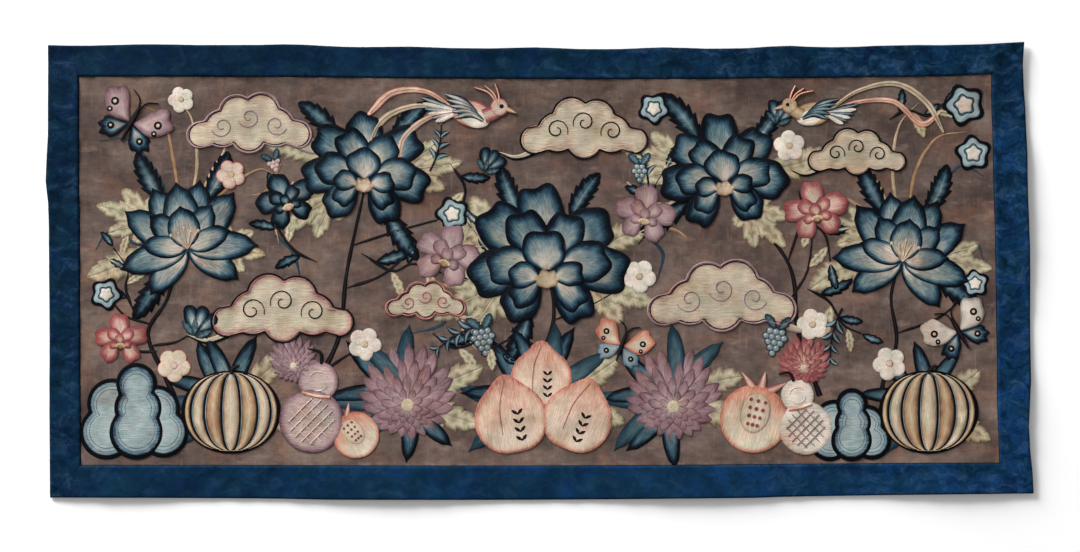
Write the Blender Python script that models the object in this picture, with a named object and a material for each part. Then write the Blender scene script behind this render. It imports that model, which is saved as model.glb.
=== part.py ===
"""A lined silk panel lying face up: an embroidered ground framed by four mitred strips of silk damask.

X runs along the panel, Y up its face and Z out of it. The origin is under the middle of the panel, on the
plane that it lies on. The tables are in millimetres; MM turns them into Blender's metres.
"""

import math

import bmesh
import bpy
from mathutils import Vector

MM = 0.001

# Thicknesses, with the lining and the turned-in seam allowances counted in.
GROUND_THICK = 1.8 * MM
SEAM_GAP = 0.3 * MM

# The hem's four corners, and how far in from each the seam between strip and ground turns.
CORNERS = {
    # corner: (hem x, hem y, seam inset x, seam inset y)
    "top_left": (-552.0, 253.0, 34.8, 35.6),
    "top_right": (542.3, 256.4, 36.6, 36.4),
    "bottom_right": (553.0, -249.8, 38.6, 34.6),
    "bottom_left": (-549.8, -254.5, 35.0, 36.6),
}
SIDES = {
    # side: (its first corner, its last corner), clockwise round the panel
    "top": ("top_left", "top_right"),
    "right": ("top_right", "bottom_right"),
    "bottom": ("bottom_right", "bottom_left"),
    "left": ("bottom_left", "top_left"),
}

# Bows and puckers of the edges. Each swells outwards, or dips where it is negative, round its own place.
EDGE_WAVES = [
    # side, place along it, reach (both as shares of the side), hem_mm, seam_mm
    ("top", 0.62, 0.60, -6.6, -4.4),
    ("top", 0.11, 0.06, 0.9, 0.0),
    ("top", 0.25, 0.06, 2.0, 0.3),
    ("top", 0.37, 0.05, 1.2, 0.0),
    ("top", 0.50, 0.05, 1.7, 0.2),
    ("top", 0.63, 0.05, 1.9, 0.2),
    ("top", 0.755, 0.045, 2.4, 0.4),
    ("top", 0.87, 0.05, 1.3, 0.2),
    ("right", 0.06, 0.10, -2.2, -0.6),
    ("right", 0.25, 0.09, 0.9, 0.0),
    ("right", 0.47, 0.20, 1.4, 0.5),
    ("right", 0.86, 0.13, -4.0, -0.9),
    ("bottom", 0.50, 0.52, 4.7, 1.9),
    ("bottom", 0.30, 0.05, 0.7, 0.0),
    ("bottom", 0.72, 0.05, 0.6, 0.0),
    ("left", 0.34, 0.20, -0.6, 0.0),
    ("left", 0.71, 0.085, 3.2, 0.4),
]

# Soft ridges where the cloth stands off the plane that it lies on.
COCKLES = [
    # x, y, heading_deg, half_length, half_width, height
    (-548.0, 150.0, 90.0, 95.0, 60.0, 3.4),
    (-552.0, -120.0, 90.0, 120.0, 58.0, 2.6),
    (-330.0, 256.0, 0.0, 110.0, 55.0, 2.6),
    (-60.0, 252.0, 0.0, 90.0, 52.0, 2.0),
    (215.0, 252.0, 0.0, 100.0, 55.0, 2.4),
    (500.0, 262.0, -30.0, 110.0, 60.0, 4.2),
    (556.0, 60.0, 90.0, 150.0, 62.0, 4.0),
    (548.0, -170.0, 84.0, 100.0, 58.0, 3.2),
    (470.0, -258.0, 4.0, 120.0, 60.0, 4.0),
    (180.0, -258.0, 0.0, 150.0, 60.0, 3.6),
    (-170.0, -260.0, 0.0, 150.0, 60.0, 3.4),
    (-470.0, -256.0, 0.0, 100.0, 58.0, 2.6),
    (-395.0, 60.0, 62.0, 150.0, 48.0, 1.5),
    (-255.0, -95.0, -58.0, 130.0, 46.0, 1.3),
    (150.0, 110.0, 35.0, 150.0, 46.0, 1.4),
    (330.0, -60.0, -40.0, 140.0, 48.0, 1.6),
    (60.0, -150.0, 12.0, 120.0, 46.0, 1.2),
]

# A strip's rounded section: from the seam, up over the turned-in allowance, and down round the folded hem.
STRIP_SECTION = [
    # from_seam_mm, from_hem_mm (the one that is given counts), height_mm
    (0.0, None, 1.1),
    (0.9, None, 2.2),
    (3.2, None, 2.7),
    (18.0, None, 2.4),
    (None, 3.0, 2.6),
    (None, 1.0, 2.2),
    (None, 0.0, 1.2),
    (None, 0.9, 0.0),
    (18.0, None, 0.0),
    (0.0, None, 0.0),
]

STATIONS = {"top": 46, "bottom": 46, "left": 20, "right": 20}

MATERIALS = {
    # name: (colour, roughness)
    "brown_silk": ((0.137, 0.098, 0.080), 0.72),
    "blue_damask": ((0.008, 0.026, 0.062), 0.55),
}


def swell(away, reach):
    """A round bump: 1 in its middle, 0 and level at its reach."""
    return math.cos(math.pi / 2 * away / reach) ** 2 if abs(away) < reach else 0.0


def corner_points(name):
    """A corner of the hem and the seam's corner inside it."""
    x, y, inset_x, inset_y = CORNERS[name]
    hem = Vector((x, y))
    return hem, hem - Vector((math.copysign(inset_x, x), math.copysign(inset_y, y)))


def side_curves(side, share):
    """The hem's and the seam's points at that share of a side's length."""
    first, last = (corner_points(name) for name in SIDES[side])
    outward = (last[0] - first[0]).orthogonal().normalized()
    waves = [row[1:] for row in EDGE_WAVES if row[0] == side]
    points = []
    for edge in range(2):
        out = sum(swell(share - place, reach) * sizes[edge] for place, reach, *sizes in waves)
        ends = swell(share, 0.04) + swell(share - 1.0, 0.04)
        points.append(first[edge].lerp(last[edge], share) + outward * out * (1.0 - ends))
    return points


def middle_of_hem():
    """The middle of the hem's bounding box."""
    hem = [side_curves(side, i / n)[0] for side, n in STATIONS.items() for i in range(n + 1)]
    low = Vector((min(p.x for p in hem), min(p.y for p in hem)))
    high = Vector((max(p.x for p in hem), max(p.y for p in hem)))
    return (low + high) / 2


MIDDLE = middle_of_hem()


def stand_off(x, y):
    """How far the cloth stands off the plane that it lies on. Where ridges cross, they blend smoothly."""
    ridges = []
    for at_x, at_y, heading, half_length, half_width, top in COCKLES:
        away = Vector((x - at_x, y - at_y))
        along = Vector((math.cos(math.radians(heading)), math.sin(math.radians(heading))))
        across = away.x * along.y - away.y * along.x
        ridges.append(top * swell(away.dot(along), half_length) * swell(across, half_width))
    return math.hypot(*ridges)


def placed(point, height):
    """A point of the flat pattern, raised by the cloth's lie, in metres from the origin."""
    flat = point - MIDDLE
    return Vector((flat.x * MM, flat.y * MM, (stand_off(point.x, point.y) + height) * MM))


def make_piece(name, mesh_maker, material, parent):
    """A named object whose mesh the maker fills, smooth but for its sharp edges."""
    bm = bmesh.new()
    mesh_maker(bm)
    bmesh.ops.recalc_face_normals(bm, faces=bm.faces)
    mesh = bpy.data.meshes.new(name)
    bm.to_mesh(mesh)
    bm.free()
    mesh.materials.append(material)
    mesh.shade_smooth()
    mesh.set_sharp_from_angle(angle=math.radians(40))
    piece = bpy.data.objects.new(name, mesh)
    piece.parent = parent
    bpy.context.scene.collection.objects.link(piece)
    return piece


def ground_point(across, up):
    """A point of the ground between its four seams, at shares of its width and height."""
    half_gap = SEAM_GAP / MM / 2
    top = side_curves("top", across)[1] + Vector((0.0, -half_gap))
    bottom = side_curves("bottom", 1.0 - across)[1] + Vector((0.0, half_gap))
    left = side_curves("left", up)[1] + Vector((half_gap, 0.0))
    right = side_curves("right", 1.0 - up)[1] + Vector((-half_gap, 0.0))
    low, high = (
        side_curves("bottom", 1.0 - end)[1].lerp(side_curves("top", end)[1], up) for end in (0.0, 1.0)
    )
    return bottom.lerp(top, up) + left.lerp(right, across) - low.lerp(high, across)


def fill_ground(bm):
    """A sheet of even thickness on the cloth's cockles: two grids of points joined round their rim."""
    wide, tall = STATIONS["top"], STATIONS["left"]
    layers = []
    for height in (0.0, GROUND_THICK / MM):
        layers.append([
            [bm.verts.new(placed(ground_point(i / wide, j / tall), height)) for j in range(tall + 1)]
            for i in range(wide + 1)
        ])
    for grid in layers:
        for i in range(wide):
            for j in range(tall):
                bm.faces.new((grid[i][j], grid[i + 1][j], grid[i + 1][j + 1], grid[i][j + 1]))
    rims = []
    for grid in layers:
        rims.append(
            [grid[i][0] for i in range(wide)]
            + [grid[wide][j] for j in range(tall)]
            + [grid[i][tall] for i in range(wide, 0, -1)]
            + [grid[0][j] for j in range(tall, 0, -1)]
        )
    for k, low in enumerate(rims[0]):
        bm.faces.new((low, rims[0][k - 1], rims[1][k - 1], rims[1][k]))


def strip_ring(side, share):
    """The section's points across one strip at that share of its length, from seam to hem and back."""
    hem, seam = side_curves(side, share)
    outward = (hem - seam).normalized()
    seam = seam + outward * (SEAM_GAP / MM / 2)
    wide = (hem - seam).length
    ring = []
    for from_seam, from_hem, height in STRIP_SECTION:
        reach = from_seam if from_hem is None else wide - from_hem
        ring.append(placed(seam + outward * reach, height))
    return ring


def strip_filler(side):
    """The maker of one strip's mesh, whose mitred ends stop half a gap short of the corner lines."""

    def fill(bm):
        count = STATIONS[side]
        length = (corner_points(SIDES[side][0])[0] - corner_points(SIDES[side][1])[0]).length
        short = SEAM_GAP / MM / 2 / math.sin(math.pi / 4) / length
        shares = [min(max(i / count, short), 1.0 - short) for i in range(count + 1)]
        rings = [[bm.verts.new(point) for point in strip_ring(side, share)] for share in shares]
        points = len(STRIP_SECTION)
        for near, far in zip(rings, rings[1:]):
            for k in range(points):
                after = (k + 1) % points
                bm.faces.new((near[k], near[after], far[after], far[k]))
        bm.faces.new(rings[0])
        bm.faces.new(rings[-1])

    return fill


def make_material(name):
    """A silk's Principled material."""
    colour, roughness = MATERIALS[name]
    material = bpy.data.materials.new(name)
    material.use_nodes = True
    surface = material.node_tree.nodes["Principled BSDF"]
    surface.inputs["Base Color"].default_value = (*colour, 1.0)
    surface.inputs["Roughness"].default_value = roughness
    surface.inputs["Metallic"].default_value = 0.0
    return material


def main():
    for old in list(bpy.data.objects):
        bpy.data.objects.remove(old)
    silks = {name: make_material(name) for name in MATERIALS}
    panel = bpy.data.objects.new("panel", None)
    bpy.context.scene.collection.objects.link(panel)
    make_piece("embroidered_ground", fill_ground, silks["brown_silk"], panel)
    for side in SIDES:
        make_piece(f"border_{side}", strip_filler(side), silks["blue_damask"], panel)


main()
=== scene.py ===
"""The looks of a lined silk panel: a faded brown ground under floss silk embroidery, and four damask strips.

Plans are drawn flat, in millimetres, with complex numbers for places: x runs along the panel, y up its face.
Heights are millimetres over the cloth's own lie, which is read from the frame's underside.
"""

import cmath
import math

import bmesh
import bpy
import numpy as np
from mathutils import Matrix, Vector
from mathutils.bvhtree import BVHTree


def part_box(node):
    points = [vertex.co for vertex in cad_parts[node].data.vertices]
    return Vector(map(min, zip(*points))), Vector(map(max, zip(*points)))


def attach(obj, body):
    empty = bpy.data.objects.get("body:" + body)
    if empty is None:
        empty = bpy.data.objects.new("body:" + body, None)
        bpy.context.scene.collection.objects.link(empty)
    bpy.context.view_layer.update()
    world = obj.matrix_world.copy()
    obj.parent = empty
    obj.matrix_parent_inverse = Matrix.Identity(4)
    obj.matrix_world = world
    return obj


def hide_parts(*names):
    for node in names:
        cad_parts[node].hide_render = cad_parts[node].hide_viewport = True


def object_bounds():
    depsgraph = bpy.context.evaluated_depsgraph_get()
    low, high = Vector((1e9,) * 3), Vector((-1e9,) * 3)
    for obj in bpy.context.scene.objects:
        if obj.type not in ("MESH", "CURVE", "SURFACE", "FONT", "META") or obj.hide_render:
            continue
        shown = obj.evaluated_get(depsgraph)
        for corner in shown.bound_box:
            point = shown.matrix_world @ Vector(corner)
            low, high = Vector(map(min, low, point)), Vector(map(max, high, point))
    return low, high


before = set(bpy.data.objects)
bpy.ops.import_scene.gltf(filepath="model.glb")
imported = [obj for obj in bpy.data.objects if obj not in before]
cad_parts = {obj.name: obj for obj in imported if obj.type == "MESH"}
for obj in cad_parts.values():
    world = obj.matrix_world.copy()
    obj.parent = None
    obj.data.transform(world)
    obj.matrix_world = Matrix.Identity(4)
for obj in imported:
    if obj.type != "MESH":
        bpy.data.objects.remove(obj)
cad_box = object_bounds()

MM = 0.001
TURN = 2 * math.pi


def smoothstep(value):
    """Eases a value from 0 to 1, level at both ends."""
    value = np.clip(value, 0, 1)
    return value * value * (3 - 2 * value)


def at_angle(degrees):
    return cmath.exp(1j * math.radians(degrees))


# -------- the lie of the cloth

TABLE_STEP = 10        # spacing of the rays that feel the frame's underside
TABLE_PAST = 20        # how far they reach past the frame
RAY_START = -10        # the height that they rise from
FINE = 4               # how many times finer the smoothed table is
PUCKERS = 16           # waves that the stitches draw up in the cloth
PUCKER_SEED = 11
CLOTH_TOP = 1.35       # the ground's upper face over its underside
CLOTH_LEAST = 0.05     # what stitches leave of the cloth under them


def smoothed(table, rounds):
    """A table of heights, softened by its neighbours."""
    for _ in range(rounds):
        for axis in (0, 1):
            padded = np.concatenate([table.take([0], axis), table, table.take([-1], axis)], axis)
            low, mid, high = (padded.take(range(k, k + table.shape[axis]), axis) for k in (0, 1, 2))
            table = low / 4 + mid / 2 + high / 4
    return table


def underside_table():
    """How far the solids' underside stands off the surface, on an even grid that is then made finer."""
    corners, faces = [], []
    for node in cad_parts.values():
        faces += [[len(corners) + k for k in face.vertices] for face in node.data.polygons]
        corners += [vertex.co.copy() for vertex in node.data.vertices]
    tree = BVHTree.FromPolygons(corners, faces)
    xs, ys = (np.arange(low / MM - TABLE_PAST, high / MM + TABLE_PAST, TABLE_STEP)
              for low, high in list(zip(*cad_box))[:2])
    table = np.full((len(xs), len(ys)), np.nan)
    for i, x in enumerate(xs):
        for j, y in enumerate(ys):
            hit = tree.ray_cast(Vector((x, y, RAY_START)) * MM, Vector((0, 0, 1)))[0]
            if hit:
                table[i, j] = hit.z / MM
    while np.isnan(table).any():
        known = np.pad(table, 1, constant_values=np.nan)
        around = np.stack([known[2:, 1:-1], known[:-2, 1:-1], known[1:-1, 2:], known[1:-1, :-2]])
        count = (~np.isnan(around)).sum(0)
        mean = np.nansum(around, 0) / np.maximum(count, 1)
        table = np.where(np.isnan(table) & (count > 0), mean, table)
    table = smoothed(table, 1)
    fine_x, fine_y = (np.arange(line[0], line[-1], TABLE_STEP / FINE) for line in (xs, ys))
    table = np.stack([np.interp(fine_x, xs, column) for column in table.T], 1)
    table = np.stack([np.interp(fine_y, ys, row) for row in table])
    return fine_x, fine_y, smoothed(table, 6)


TABLE_X, TABLE_Y, TABLE = underside_table()


def stand_off(place):
    """How far the cloth's underside stands off the surface at these places."""
    step = TABLE_STEP / FINE
    u = np.clip((place.real - TABLE_X[0]) / step, 0, len(TABLE_X) - 1.001)
    v = np.clip((place.imag - TABLE_Y[0]) / step, 0, len(TABLE_Y) - 1.001)
    i, j = u.astype(int), v.astype(int)
    u, v = u - i, v - j
    low = TABLE[i, j] * (1 - u) + TABLE[i + 1, j] * u
    high = TABLE[i, j + 1] * (1 - u) + TABLE[i + 1, j + 1] * u
    return low * (1 - v) + high * v


def pucker_waves():
    """Wave, height and phase of each pucker between the stitches."""
    rng = np.random.default_rng(PUCKER_SEED)
    length = np.geomspace(16, 75, PUCKERS)
    wave = np.exp(1j * rng.uniform(0, TURN, PUCKERS)) * TURN / length
    return list(zip(wave, 0.013 * length ** 0.55, rng.uniform(0, TURN, PUCKERS)))


PUCKER_WAVES = pucker_waves()


def cloth_height(place):
    pucker = sum(tall * np.sin(place.real * wave.real + place.imag * wave.imag + phase)
                 for wave, tall, phase in PUCKER_WAVES)
    return stand_off(place) + CLOTH_TOP + pucker


def laid_over(place, height):
    """Heights over the cloth as heights over the surface, of which none goes through the cloth's back."""
    return np.maximum(cloth_height(place) + height, stand_off(place) + CLOTH_LEAST)


# -------- colours and materials

def linear(colour):
    """A Principled colour from red, green and blue as they show, 0 to 255."""
    shares = [c / 255 for c in colour]
    return [c / 12.92 if c <= 0.04045 else ((c + 0.055) / 1.055) ** 2.4 for c in shares] + [1]


class Nodes:
    """A material's node tree, written one node a line."""

    def __init__(self, name):
        self.material = bpy.data.materials.new(name)
        self.material.use_nodes = True
        self.tree = self.material.node_tree
        self.surface = self.tree.nodes["Principled BSDF"]
        self.places = self.stretched(self.add("TexCoord").outputs["Object"], (MM, MM, MM))    # in millimetres

    def add(self, kind, inputs=(), **settings):
        """A node with its settings, and with inputs given as values or as other nodes' outputs."""
        node = self.tree.nodes.new("ShaderNode" + kind)
        for key, value in settings.items():
            setattr(node, key, value)
        for key, value in dict(inputs).items():
            self.put(node.inputs[key], value)
        return node

    def put(self, socket, value):
        if isinstance(value, bpy.types.Node):
            value = value.outputs[0]
        if isinstance(value, bpy.types.NodeSocket):
            self.tree.links.new(value, socket)
        else:
            socket.default_value = value

    def math(self, operation, *values):
        return self.add("Math", dict(enumerate(values)), operation=operation)

    def times(self, first, *others):
        """The product of several values."""
        for other in others:
            first = self.math("MULTIPLY", first, other)
        return first

    def stretched(self, vector, scale):
        return self.add("Mapping", {"Vector": vector, "Scale": scale}, vector_type="TEXTURE").outputs[0]

    def noise(self, stretch, scale, detail, rough, vector=None):
        """A noise's value, about 0.5 in the middle, over places that are stretched unless stretch is None."""
        vector = vector or self.places
        vector = self.stretched(vector, stretch) if stretch else vector
        return self.add("TexNoise", {"Vector": vector, "Scale": scale, "Detail": detail, "Roughness": rough})

    def spread(self, value, low, high, to_low=0, to_high=1):
        """A value's range moved to another, smoothly."""
        inputs = {0: value, 1: low, 2: high, 3: to_low, 4: to_high}
        return self.add("MapRange", inputs, interpolation_type="SMOOTHSTEP")

    def ramp(self, value, stops):
        """A colour ramp with stops of a place and a colour as it shows."""
        node = self.add("ValToRGB", {"Fac": value})
        elements = node.color_ramp.elements
        while len(elements) < len(stops):
            elements.new(0.5)
        for element, (place, *colour) in zip(elements, stops):
            element.position = place
            element.color = linear(colour)
        return node.outputs["Color"]

    def mix(self, share, first, second, blend="MIX"):
        node = self.add("Mix", {0: share, 6: first, 7: second}, data_type="RGBA", blend_type=blend)
        return node.outputs[2]

    def dyed(self, colour, dyes, blend="MIX"):
        """A colour under dyes. Each has a noise, the values where it starts and is full, share and tone."""
        for noise, low, high, most, tone in dyes:
            colour = self.mix(self.spread(noise, low, high, 0, most), colour, linear(tone), blend)
        return colour

    def finish(self, colour, light, fine, coarse, roughness, gloss):
        """Joins the surface up. Light is a list of factors. A bump is a height, a distance and a strength."""
        light = self.times(*light, FADE)
        grey = self.add("CombineColor", {0: light, 1: light, 2: light})
        normal = {}
        for height, distance, strength in (fine, coarse):
            inputs = {"Height": height, "Distance": distance * MM, "Strength": strength, **normal}
            normal = {"Normal": self.add("Bump", inputs)}
        joined = {"Base Color": self.mix(1, colour, grey, "MULTIPLY"), "Roughness": roughness,
                  "Specular IOR Level": gloss, **normal}
        for key, value in joined.items():
            self.put(self.surface.inputs[key], value)
        return self.material


# Each floss's colours from its motif's rim (0) to its heart (1), as stops of a place, red, green and blue.
FLOSSES = {
    "indigo": ((0, 5, 8, 15), (0.19, 8, 15, 26), (0.3, 20, 42, 58), (0.43, 48, 77, 93),
               (0.6, 85, 112, 122), (0.78, 146, 150, 145), (1, 208, 192, 178)),
    "navy": ((0, 4, 6, 12), (0.28, 9, 16, 26), (0.44, 28, 50, 63), (0.72, 72, 100, 112),
             (1, 144, 154, 152)),
    "cream": ((0, 116, 102, 82), (0.15, 164, 152, 126), (0.5, 196, 184, 156), (0.8, 178, 168, 142),
              (1, 140, 130, 104)),
    "cloud": ((0, 150, 112, 108), (0.08, 176, 154, 138), (0.3, 196, 178, 156), (0.7, 200, 186, 164),
              (1, 166, 154, 134)),
    "mauve": ((0, 96, 68, 74), (0.2, 140, 110, 116), (0.6, 170, 142, 144), (1, 204, 180, 174)),
    "coral": ((0, 176, 104, 86), (0.25, 206, 146, 122), (0.6, 208, 181, 160), (1, 214, 204, 182)),
    "blush": ((0, 176, 108, 96), (0.12, 204, 148, 128), (0.4, 218, 184, 162), (1, 222, 206, 186)),
    "rose": ((0, 124, 62, 66), (0.3, 156, 90, 90), (0.6, 192, 146, 134), (1, 214, 194, 176)),
    "ochre": ((0, 92, 66, 50), (0.25, 150, 116, 86), (0.65, 180, 148, 116), (1, 200, 180, 150)),
    "rock": ((0, 34, 58, 78), (0.12, 104, 128, 140), (0.4, 142, 160, 166), (1, 166, 180, 180)),
    "teal": ((0, 20, 38, 50), (0.5, 48, 74, 86), (1, 92, 114, 118)),
    "straw": ((0, 120, 98, 78), (0.3, 182, 158, 132), (1, 214, 198, 174)),
    "pearl": ((0, 132, 120, 116), (0.2, 204, 192, 180), (1, 232, 220, 206)),
    "black": ((0, 4, 5, 9), (0.6, 8, 10, 16), (1, 24, 26, 36)),
    "bark": ((0, 4, 4, 8), (0.45, 10, 9, 14), (1, 38, 32, 36)),
}
STAIN = (214, 176, 142)  # the brown that old silk takes in patches
SAGE, PINK = (208, 222, 202), (242, 208, 202)    # tints of one dye lot and another
COUCHED = ("cloud", "pearl", "mauve", "rock", "straw", "blush")    # flosses held down by small stitches
FADE = 0.84            # what the lamps' strength leaves of a colour as it shows
materials = {}


def make_floss(name):
    """Floss silk: rows of long and short stitches whose colours interlock."""
    nodes = Nodes("floss_" + name)
    thread = nodes.add("Attribute", attribute_name="thread").outputs["Vector"]
    shade = nodes.add("Attribute", attribute_name="shade").outputs["Fac"]
    across, along, patch = nodes.add("SeparateXYZ", {0: thread}).outputs
    stitches = nodes.noise((0.8, 9, 1), 1, 1.5, 0.6, thread)
    strands = nodes.noise((0.36, 16, 1), 1, 1, 0.5, thread)
    wear = nodes.noise(None, 0.045, 4, 0.65)
    stain = nodes.noise((1, 1, 7), 0.02, 3, 0.6)
    tint = nodes.noise((1, 1, 5), 0.05, 3, 0.6)
    chance = nodes.add("TexWhiteNoise", {"W": patch}, noise_dimensions="1D")
    jitter = nodes.spread(stitches, 0.25, 0.75, -0.08, 0.08)
    drift = nodes.math("ADD", nodes.spread(wear, 0.3, 0.7, -0.06, 0.06),
                       nodes.spread(chance, 0, 1, -0.05, 0.05))
    place = nodes.math("ADD", shade, nodes.math("ADD", jitter, drift))
    dyes = ((stain, 0.5, 0.7, 0.4, STAIN), (tint, 0.48, 0.66, 0.42, SAGE), (tint, 0.5, 0.34, 0.36, PINK))
    colour = nodes.dyed(nodes.ramp(place, FLOSSES[name]), dyes, "MULTIPLY")
    light = [nodes.spread(strands, 0.25, 0.75, 0.80, 1.14), nodes.spread(stitches, 0.2, 0.8, 0.9, 1.1),
             nodes.spread(wear, 0.3, 0.72, 0.88, 1.08)]
    if name in COUCHED:
        row = nodes.math("FLOOR", nodes.times(across, 0.55))
        turn = nodes.math("FRACT", nodes.math("MULTIPLY_ADD", row, 0.5, nodes.times(along, 0.3)))
        light.append(nodes.spread(turn, 0, 0.25, 0.72, 1))
    return nodes.finish(colour, light, (strands, 0.22, 0.9), (stitches, 0.35, 0.8),
                        nodes.spread(strands, 0.2, 0.8, 0.62, 0.46), 0.06)


def make_ground_silk():
    """Faded brown silk: soft blotches of several browns, rubbed lines and a fine rib, with painted shade that
    makes it darker towards its top.
    """
    nodes = Nodes("ground_silk")
    clouds = nodes.noise((1.7, 1, 1), 0.016, 5, 0.62)
    hue = nodes.noise((1.3, 1, 5), 0.024, 4, 0.6)
    warm = nodes.noise((1, 1.6, 9), 0.02, 4, 0.6)
    blotches = nodes.noise(None, 0.12, 5, 0.7)
    ribs = nodes.noise((16, 0.6, 1), 1, 2, 0.6)
    warp = nodes.noise((0.6, 26, 1), 1, 2, 0.6)
    crease = nodes.noise((1.6, 1, 3), 0.02, 2.5, 0.5)
    rubs = nodes.noise((2.6, 1, 4), 0.075, 3, 0.6)
    lines = nodes.noise((1, 9, 6), 0.3, 2, 0.5)
    base = nodes.ramp(nodes.spread(clouds, 0.28, 0.72), (
        (0, 76, 62, 58), (0.35, 94, 78, 72), (0.6, 106, 89, 82), (1, 126, 108, 98)))
    base = nodes.dyed(base, (
        (hue, 0.48, 0.66, 0.6, (124, 90, 74)), (warm, 0.52, 0.68, 0.5, (96, 82, 76)),
        (rubs, 0.54, 0.72, 0.45, (142, 122, 110)), (rubs, 0.46, 0.3, 0.4, (72, 58, 54)),
        (lines, 0.6, 0.72, 0.3, (136, 116, 104))))
    # Painted shade: the cloth is made darker towards the panel's top.
    height = nodes.add("SeparateXYZ", {0: nodes.places}).outputs[1]
    light = (nodes.spread(blotches, 0.25, 0.75, 0.8, 1.2), nodes.spread(ribs, 0.2, 0.8, 0.88, 1.12),
             nodes.spread(warp, 0.2, 0.8, 0.92, 1.08), nodes.spread(height, -190, 190, 0.98, 0.8))
    return nodes.finish(base, light, (nodes.math("ADD", ribs, warp), 0.12, 0.8), (crease, 1.6, 0.6),
                        nodes.spread(blotches, 0.25, 0.75, 0.66, 0.8), 0.1)


def make_damask():
    """Dark blue damask: curling satin leaves that hardly show on a duller weave, more worn at its ends, with
    painted light that makes it lighter towards the lower right and painted shade along each strip's hem, seam
    and mitres.
    """
    nodes = Nodes("blue_damask")
    bend = nodes.noise(None, 0.055, 2, 0.5)
    pull = nodes.add("VectorMath", {0: bend.outputs["Color"], "Scale": 34}, operation="SCALE")
    moved = nodes.add("VectorMath", {0: nodes.places, 1: pull}, operation="ADD").outputs[0]
    curls = nodes.noise(None, 0.06, 2.5, 0.55, moved)
    figure = nodes.spread(nodes.math("SINE", nodes.times(curls, 34)), -0.9, 0.9)
    wisps = nodes.noise((1.8, 1, 3), 0.1, 3, 0.6, moved)
    mottle = nodes.noise(None, 0.03, 4, 0.6)
    hue = nodes.noise((1, 1, 8), 0.035, 3, 0.6)
    weave = nodes.noise((0.45, 5, 1), 1, 2, 0.6)
    across = nodes.noise((5, 0.45, 1), 1, 2, 0.6)
    x, y, _ = nodes.add("SeparateXYZ", {0: nodes.places}).outputs
    # Painted light: the blue grows lighter towards the right and the bottom and darker at the upper left,
    # over a real mottle of tone.
    slope = nodes.math("SUBTRACT", nodes.times(x, 0.0006), nodes.times(y, 0.0009))
    mottle_and_painted_light = nodes.math("ADD", nodes.math("ADD", slope, 0.45), nodes.spread(mottle, 0.3, 0.7, -0.3, 0.3))
    diagonal = nodes.math("MULTIPLY_ADD", y, 0.6, x)
    ends = nodes.math("MAXIMUM", nodes.spread(diagonal, -100, 500, 0.4, 1.25),
                      nodes.spread(x, -505, -525, 0, 0.95))
    base = nodes.ramp(mottle_and_painted_light, ((0, 6, 29, 49), (0.35, 9, 37, 60), (0.7, 12, 44, 73), (1, 15, 51, 91)))
    base = nodes.dyed(base, ((hue, 0.45, 0.65, 0.5, (15, 46, 63)), (hue, 0.5, 0.32, 0.5, (13, 35, 70))))
    base = nodes.mix(nodes.times(nodes.spread(wisps, 0.5, 0.7, 0, 0.38), ends), base, linear((50, 78, 108)))
    pattern = nodes.times(nodes.spread(figure, 0, 1, 0.88, 1.12),
                          nodes.spread(wisps, 0.32, 0.52, 0.6, 1.05))
    pattern = nodes.math("MULTIPLY_ADD", nodes.math("SUBTRACT", pattern, 1), ends, 1)
    # The strips' shade attribute is painted shade: dark along the hem and the seam and at the mitres.
    edge = nodes.add("Attribute", attribute_name="shade").outputs["Fac"]
    light = (pattern, nodes.spread(weave, 0.2, 0.8, 0.86, 1.14), nodes.spread(across, 0.2, 0.8, 0.92, 1.08),
             nodes.spread(edge, 0, 1, 0.02, 1))
    nodes.surface.inputs["Specular Tint"].default_value = (0.35, 0.65, 1, 1)
    return nodes.finish(base, light, (nodes.math("ADD", weave, across), 0.12, 0.8), (mottle, 1.4, 0.5),
                        nodes.spread(figure, 0, 1, 0.66, 0.5), 0.07)


# -------- pieces

SHARP_EDGE = 55        # degrees from which an edge isn't smoothed


def make_piece(name, points, faces, slot, palette, face_materials=None, **values):
    """A named piece that rides with the panel. Extra values are kept on its points for the materials."""
    mesh = bpy.data.meshes.new(name)
    mesh.from_pydata(points, [], faces)
    for material in palette:
        mesh.materials.append(material)
    if face_materials is not None:
        mesh.polygons.foreach_set("material_index", face_materials)
    for key, numbers in values.items():
        kind, field = ("FLOAT", "value") if numbers.ndim == 1 else ("FLOAT_VECTOR", "vector")
        mesh.attributes.new(key, kind, "POINT").data.foreach_set(field, numbers.astype(np.float32).ravel())
    bm = bmesh.new()
    bm.from_mesh(mesh)
    bmesh.ops.recalc_face_normals(bm, faces=bm.faces)
    bm.to_mesh(mesh)
    bm.free()
    mesh.shade_smooth()
    mesh.set_sharp_from_angle(angle=math.radians(SHARP_EDGE))
    piece = bpy.data.objects.new(name, mesh)
    bpy.context.scene.collection.objects.link(piece)
    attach(piece, "root")
    return piece


def grid_faces(rows, columns, first=0, closed=False):
    """Quads between the points of a grid that are numbered row by row."""
    index = first + np.arange(rows * columns).reshape(rows, columns)
    after = np.roll(index, -1, 0)
    near, far = (index, after) if closed else (index[:-1], after[:-1])
    quads = np.stack([near[:, :-1], far[:, :-1], far[:, 1:], near[:, 1:]], -1)
    return quads.reshape(-1, 4).tolist()


def grid_rim(rows, columns):
    """The numbers of a grid's outermost points, in order."""
    index = np.arange(rows * columns).reshape(rows, columns)
    return np.concatenate([index[:-1, 0], index[-1, :-1], index[:0:-1, -1], index[0, :0:-1]])


def to_points(place, height):
    """Points in metres from plan places and heights in millimetres."""
    return np.stack([place.real, place.imag, height], -1).reshape(-1, 3) * MM


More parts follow.
